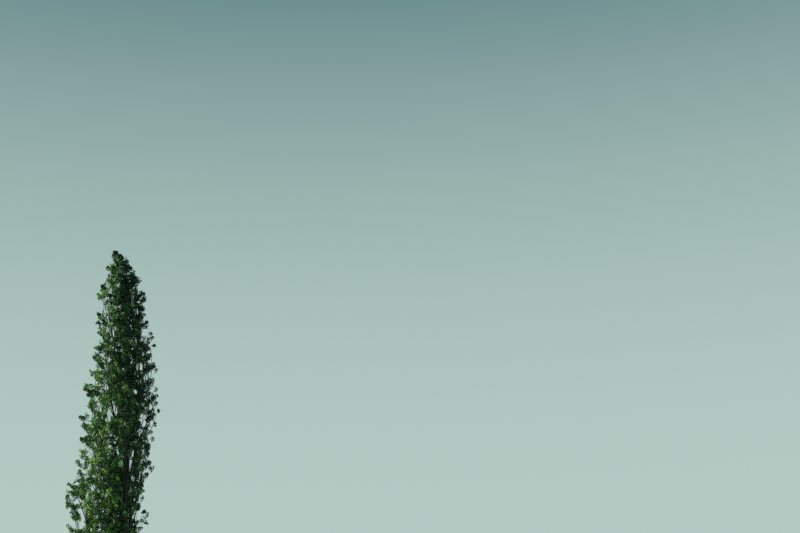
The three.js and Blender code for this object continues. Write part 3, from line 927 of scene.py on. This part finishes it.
# One piece of leaves for each colour, without those in the crown's openings.
def makeLeaves():
    leaves, kind = growLeaves(), dealColours()
    middle = leaves[:, :, 2:4].mean(axis=2)
    past = leafShape["past"]
    kept = ((middle > np.array(cadLow) - past) & (middle < np.array(cadHigh) + past)).all(axis=-1)
    kept &= (gapShare(middle.reshape(-1, 3)) > 1).reshape(kept.shape)
    total = 0
    for i, (name, look) in enumerate(leafLooks.items()):
        mine = leaves[(kind == i)[:, None] & kept]
        faces = leafFaces[None] + (np.arange(len(mine)) * mine.shape[1])[:, None, None]
        makePiece(name, mine, faces, [makePlain(name, look["colour"], leafFinish)],
                  replaces=sorted(masses))
        total += len(mine)
        print(f"          {name}: {faces.size // 3} triangles")
    return total


count = makeLeaves()
say(f"{count} leaves")


stageLook = dict(radius=600.0, corners=96, colour=(0.20, 0.22, 0.215))
backdropLook = dict(
    low=(0.450, 0.583, 0.540), high=(0.16, 0.28, 0.285),
    rise=(0.19, 0.55), power=2.0,  # as shares of straight up, where it starts to darken and is darkest
    light=(0.36, 0.50, 0.48), strength=0.88,
)
# The turn of a lamp counts from +Y towards +X, and its height from the horizon.
lampLook = dict(
    key=dict(strength=10.3, softness=10, turn=-84, height=38, colour=(1.0, 0.96, 0.86)),
    back=dict(strength=2.6, softness=40, turn=60, height=35, colour=(0.86, 0.96, 1.0)),
)


# The floor: a wide disc at ground level.
def makeStage():
    count = stageLook["corners"]
    rim = stageLook["radius"] * levelDir(2 * math.pi / count * np.arange(count))
    mesh = bpy.data.meshes.new("floor")
    mesh.from_pydata(rim.tolist(), [], [tuple(range(count))])
    material = bpy.data.materials.new("floor_pale")
    material.use_nodes = True
    shader = material.node_tree.nodes["Principled BSDF"]
    shader.inputs["Base Color"].default_value = (*stageLook["colour"], 1)
    shader.inputs["Roughness"].default_value = 1
    shader.inputs["Specular IOR Level"].default_value = 0
    mesh.materials.append(material)
    floor = bpy.data.objects.new("floor", mesh)
    bpy.context.scene.collection.objects.link(floor)


# The camera sees a plain backdrop that darkens upwards, by a power of the height, and a plain glow all round
# lights the tree.
def makeBackdrop():
    world = bpy.data.worlds.new("studio")
    world.use_nodes = True
    nodes, links = world.node_tree.nodes, world.node_tree.links
    seen, fill = nodes["Background"], nodes.new("ShaderNodeBackground")
    place, height = nodes.new("ShaderNodeTexCoord"), nodes.new("ShaderNodeSeparateXYZ")
    links.new(place.outputs["Generated"], height.inputs["Vector"])
    rise, curve = nodes.new("ShaderNodeMapRange"), nodes.new("ShaderNodeMath")
    shade = nodes.new("ShaderNodeMix")
    rise.inputs["From Min"].default_value, rise.inputs["From Max"].default_value = backdropLook["rise"]
    links.new(height.outputs["Z"], rise.inputs["Value"])
    curve.operation = "POWER"
    curve.inputs[1].default_value = backdropLook["power"]
    links.new(rise.outputs["Result"], curve.inputs[0])
    shade.data_type = "RGBA"
    links.new(curve.outputs["Value"], shade.inputs["Factor"])
    shade.inputs["A"].default_value = (*backdropLook["low"], 1)
    shade.inputs["B"].default_value = (*backdropLook["high"], 1)
    links.new(shade.outputs["Result"], seen.inputs["Color"])
    fill.inputs["Color"].default_value = (*backdropLook["light"], 1)
    fill.inputs["Strength"].default_value = backdropLook["strength"]
    ray, choose = nodes.new("ShaderNodeLightPath"), nodes.new("ShaderNodeMixShader")
    links.new(ray.outputs["Is Camera Ray"], choose.inputs["Fac"])
    links.new(fill.outputs["Background"], choose.inputs[1])
    links.new(seen.outputs["Background"], choose.inputs[2])
    links.new(choose.outputs["Shader"], nodes["World Output"].inputs["Surface"])
    bpy.context.scene.world = world


def makeLamps():
    for name, look in lampLook.items():
        light = bpy.data.lights.new(name, "SUN")
        light.energy = look["strength"]
        light.color = look["colour"]
        light.angle = math.radians(look["softness"])
        lamp = bpy.data.objects.new(name, light)
        bpy.context.scene.collection.objects.link(lamp)
        height, turn = math.radians(look["height"]), math.radians(look["turn"])
        lamp.rotation_euler = (math.pi / 2 - height, 0, math.pi - turn)


def makeCamera():
    across, above, ahead = cameraAxes()
    data = bpy.data.cameras.new("camera")
    data.lens, data.sensor_width, data.sensor_fit = cameraPlace["lens"], cameraPlace["sensor"], "HORIZONTAL"
    data.clip_end = cameraPlace["farthest"]
    camera = bpy.data.objects.new("camera", data)
    bpy.context.scene.collection.objects.link(camera)
    matrix = np.eye(4)
    matrix[:3, :3] = np.stack([across, above, -ahead], axis=1)
    matrix[:3, 3] = cameraPlace["eye"]
    camera.matrix_world = Matrix(matrix.tolist())
    bpy.context.scene.camera = camera


makeStage()
makeBackdrop()
makeLamps()
makeCamera()
scene = bpy.context.scene
scene.view_settings.view_transform = "Standard"
scene.cycles.max_bounces = 3  # leaves pass little light on
scene.cycles.diffuse_bounces = 1
scene.cycles.use_denoising = False
say("stage, lights and camera")
